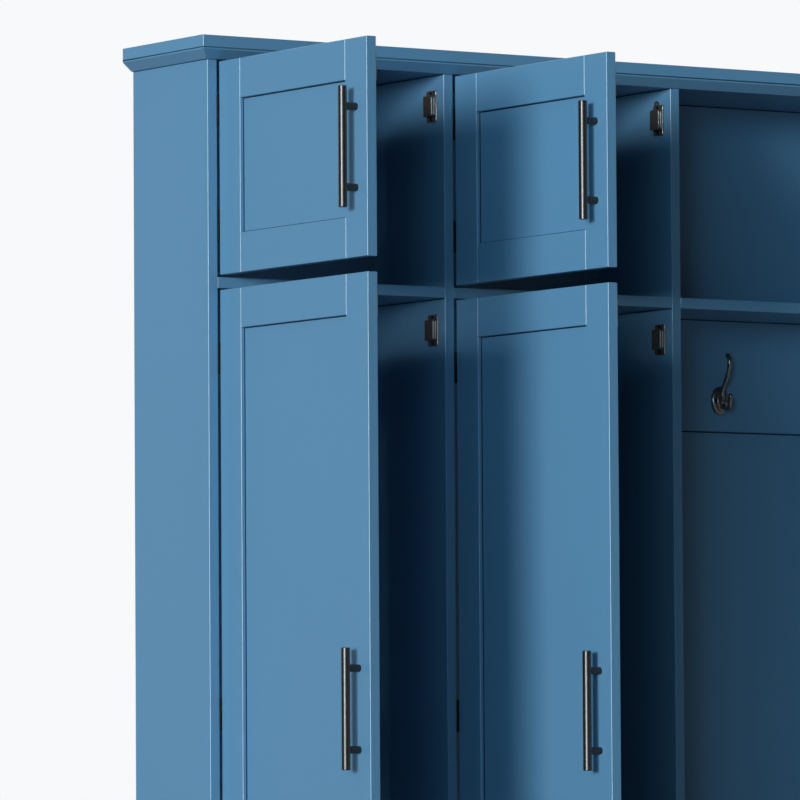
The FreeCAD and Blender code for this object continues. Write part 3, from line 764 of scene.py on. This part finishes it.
def make_board_shade_lines():
    """Painted shade: dark lines in the corners of the carcass, under the top, the shelves and the hook rail.
    """
    work = bmesh.new()
    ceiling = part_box("top_panel")[0].z
    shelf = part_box("bay_shelf")[0].z
    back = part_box("bay_back_panel")[0].y
    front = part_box("bay_divider")[0].y + SHADE_LINE_SETBACK * MM
    rail_low, rail_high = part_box("hook_rail")
    out = Vector((0.0, -SHADE_LINE_WIDE, 0.0)) * MM
    down = Vector((0.0, 0.0, -SHADE_LINE_WIDE)) * MM
    aside = Vector((-SHADE_LINE_WIDE, 0.0, 0.0)) * MM
    for y, z, leg in ((back, ceiling, out), (rail_low.y, shelf, out),
                      (back, rail_low.z, out * RAIL_SHADE_LINE_WIDER)):
        add_shade_line(work, Vector((rail_low.x, y, z)), Vector((rail_high.x, y, z)), leg, down)
    for divider in ("column_divider", "bay_divider"):
        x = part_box(divider)[0].x
        for z in (ceiling, shelf):
            add_shade_line(work, Vector((x, front, z)), Vector((x, back, z)), aside, down)
    finish_piece("board_shade_lines", work, "carcass", SHADE_LINE_FINISH)


def make_crown_shade_lines():
    """Painted shade: dark lines where the crown board sits on its moulding, and the moulding on the sides."""
    work = bmesh.new()
    low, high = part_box("crown_board")
    wall_low, wall_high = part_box("left_side_panel")
    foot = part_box("crown_moulding_left")[0].z
    section = ((SHADE_LINE_SUNK, 0.0), (SHADE_LINE_SUNK, -SHADE_LINE_WIDE), (-SHADE_LINE_HIGH, -SHADE_LINE_HIGH))
    rings = []
    for x, y, right, fore in ((low.x, high.y, -1, 0), (low.x, low.y, -1, -1),
                              (high.x, low.y, 1, -1), (high.x, high.y, 1, 0)):
        rings.append([Vector((x + right * off * MM, y + fore * off * MM, low.z + rise * MM))
                      for off, rise in section])
    skin_rings(work, rings)
    slope = Vector((low.x - wall_low.x, 0.0, low.z - foot)).normalized()
    down = Vector((0.0, 0.0, -SHADE_LINE_HIGH)) * MM
    for x, way in ((wall_low.x, 1), (-wall_low.x, -1)):
        rise = Vector((slope.x * way, 0.0, slope.z)) * SHADE_LINE_HIGH * MM
        add_shade_line(work, Vector((x, wall_low.y, foot)), Vector((x, wall_high.y, foot)), rise, down)
    finish_piece("crown_shade_lines", work, "carcass", SHADE_LINE_FINISH)


# Steel strip on the front edge of a catch's flange, in millimetres: distances from an end and half widths
STRIP_STEPS = ((1.0, 0.3), (1.5, 0.9), (7.4, 0.9), (8.4, 0.3))
STRIP_ARC_STEPS = 6
STRIP_INSET = 2.0
STRIP_PROUD = 0.6
STRIP_SUNK = 0.4

# Eye over a catch, in millimetres: its place from the housing's top, and the radius and depth of each ring
EYE_OFF = 5.2
EYE_RISE = 2.0
EYE_SIDES = 24
EYE_RINGS = ((1.5, -0.8), (2.0, -1.3), (4.4, -1.3), (5.0, -0.8),
             (5.0, 0.8), (4.4, 1.3), (2.0, 1.3), (1.5, 0.8))


def make_catch_edges():
    """Bright steel strips, waisted in the middle, along the front edges of the catches' flanges."""
    work = bmesh.new()
    for low, high in parts_of("catch_housings"):
        levels = [(low.z + along * MM, half) for along, half in STRIP_STEPS]
        levels += [(high.z - along * MM, half) for along, half in reversed(STRIP_STEPS)]
        foot = low.y + STRIP_SUNK * MM
        rings = []
        for height, half in levels:
            ring = [Vector((high.x - (STRIP_INSET - half) * MM, foot, height))]
            for step in range(STRIP_ARC_STEPS + 1):
                angle = math.pi * step / STRIP_ARC_STEPS
                ring.append(Vector((high.x + (half * math.cos(angle) - STRIP_INSET) * MM,
                                    low.y - STRIP_PROUD * math.sin(angle) * MM, height)))
            ring.append(Vector((high.x - (STRIP_INSET + half) * MM, foot, height)))
            rings.append(ring)
        skin_rings(work, rings)
    finish_piece("catch_edge_strips", work, "carcass", PLATE_FINISH)


def make_catch_eye():
    """The round eye on the divider, just over the catch of the middle upper door."""
    low, high = parts_of("catch_housings")[-1]
    centre = Vector((high.x - EYE_OFF * MM, (low.y + high.y) / 2, high.z + EYE_RISE * MM))
    rings = []
    for radius, back in EYE_RINGS:
        rings.append([centre + Vector((radius * math.cos(angle), back, radius * math.sin(angle))) * MM
                      for angle in full_turn(EYE_SIDES)])
    work = bmesh.new()
    skin_rings(work, rings, looped=True)
    finish_piece("catch_eye", work, "carcass", PLASTIC_FINISH)


def make_catch_screws():
    """Screws through the catches' flanges, and through the strike plates on the doors."""
    work = bmesh.new()
    for low, high in parts_of("catch_housings"):
        for height in (low.z + CATCH_SCREW_INSET * MM, high.z - CATCH_SCREW_INSET * MM):
            seat = Vector((high.x - CATCH_FLANGE_FACE * MM, (low.y + high.y) / 2, height))
            add_screw(work, seat, Vector((-1.0, 0.0, 0.0)), CATCH_SCREW)
    finish_piece("catch_screws", work, "carcass", HINGE_FINISH)
    for door in DOORS:
        work = bmesh.new()
        low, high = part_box(door + "_strike_plate")
        for share in STRIKE_SCREW_SHARES:
            seat = Vector((high.x, (low.y + high.y) / 2, low.z + (high.z - low.z) * share))
            add_screw(work, seat, Vector((1.0, 0.0, 0.0)), STRIKE_SCREW)
        finish_piece(door + "_strike_screws", work, door, PLATE_FINISH)


def aim_camera():
    """The camera at the place that the picture was taken from."""
    ahead = Vector((math.sin(CAMERA_YAW) * math.cos(CAMERA_PITCH),
                    math.cos(CAMERA_YAW) * math.cos(CAMERA_PITCH),
                    math.sin(CAMERA_PITCH)))
    level = Vector((math.cos(CAMERA_YAW), -math.sin(CAMERA_YAW), 0.0))
    upward = level.cross(ahead)
    right = level * math.cos(CAMERA_ROLL) - upward * math.sin(CAMERA_ROLL)
    top = level * math.sin(CAMERA_ROLL) + upward * math.cos(CAMERA_ROLL)
    lens = bpy.data.cameras.new("picture_camera")
    lens.lens = LENS_MM
    lens.sensor_width = SENSOR_MM
    lens.clip_end = CAMERA_REACH
    camera = bpy.data.objects.new("picture_camera", lens)
    bpy.context.scene.collection.objects.link(camera)
    turn = Matrix((right, top, -ahead)).transposed()
    camera.matrix_world = Matrix.Translation(CAMERA_PLACE) @ turn.to_4x4()
    bpy.context.scene.camera = camera


def add_sun(name, source, power, spread, colour):
    """A soft distant lamp that shines from a direction."""
    lamp = bpy.data.lights.new(name, "SUN")
    lamp.energy = power
    lamp.color = colour
    lamp.angle = spread
    holder = bpy.data.objects.new(name, lamp)
    holder.rotation_mode = "QUATERNION"
    holder.rotation_quaternion = source.normalized().to_track_quat("Z", "Y")
    bpy.context.scene.collection.objects.link(holder)


def look_towards(tree, look, ahead, edge):
    """A mask of the room that is 1 in one direction and fades out to its sides."""
    facing = add_node(tree, "VectorMath", operation="DOT_PRODUCT")
    feed(tree, facing.inputs[0], look)
    feed(tree, facing.inputs[1], ahead)
    mask = add_node(tree, "MapRange", interpolation_type="SMOOTHSTEP")
    feed(tree, mask.inputs["Value"], facing.outputs["Value"])
    feed(tree, mask.inputs["From Min"], edge[0])
    feed(tree, mask.inputs["From Max"], edge[1])
    return mask.outputs["Result"]


def mirrored_rays(tree, path):
    """A mask that is 1 for what is seen in gloss or through glass."""
    return work_out(tree, "MAXIMUM", path["Is Glossy Ray"], path["Is Transmission Ray"])


def set_world():
    """A white backdrop behind, and for gloss a softbox at the front left of a dim room."""
    world = bpy.data.worlds.new("studio_room")
    bpy.context.scene.world = world
    world.use_nodes = True
    tree = world.node_tree
    path = add_node(tree, "LightPath").outputs
    look = add_node(tree, "TexCoord").outputs["Generated"]
    softbox = look_towards(tree, look, SOFTBOX_AHEAD, SOFTBOX_EDGE)
    backdrop = look_towards(tree, look, BACKDROP_AHEAD, BACKDROP_EDGE)
    panel = mix_colours(tree, softbox, ROOM_GLOSS, SOFTBOX_GLOW)
    gloss = mix_colours(tree, backdrop, panel, BACKDROP_WHITE)
    room = mix_colours(tree, mirrored_rays(tree, path), ROOM_GREY, gloss)
    seen = mix_colours(tree, path["Is Camera Ray"], room, BACKDROP_WHITE)
    feed(tree, tree.nodes["Background"].inputs["Color"], seen)


def lay_floor():
    """A wide pale floor under the feet, lit up for the camera to a near white."""
    mesh = bpy.data.meshes.new("studio_floor")
    half = FLOOR_HALF
    corners = [(-half, -half, 0), (half, -half, 0), (half, half, 0), (-half, half, 0)]
    mesh.from_pydata(corners, [], [range(len(corners))])
    floor = bpy.data.objects.new("studio_floor", mesh)
    bpy.context.scene.collection.objects.link(floor)
    material = bpy.data.materials.new("pale_floor")
    material.use_nodes = True
    tree = material.node_tree
    surface = tree.nodes["Principled BSDF"].inputs
    surface["Base Color"].default_value = FLOOR_PALE
    surface["Roughness"].default_value = FLOOR_ROUGHNESS
    surface["Specular IOR Level"].default_value = FLOOR_SHINE
    surface["Emission Color"].default_value = FLOOR_WHITE
    path = add_node(tree, "LightPath").outputs
    seen = work_out(tree, "MULTIPLY_ADD", mirrored_rays(tree, path), FLOOR_MIRRORED, path["Is Camera Ray"])
    feed(tree, surface["Emission Strength"], work_out(tree, "MULTIPLY", seen, FLOOR_GLOW))
    floor.data.materials.append(material)


bpy.context.scene.view_settings.view_transform = "Standard"
aim_camera()
set_world()
for lamp_name, settings in LAMPS.items():
    add_sun(lamp_name, *settings)
lay_floor()
dress_nodes()
make_hooks()
make_hinge_screws()
make_catch_edges()
make_catch_eye()
make_panel_shade_lines()
make_board_shade_lines()
make_crown_shade_lines()
make_catch_screws()
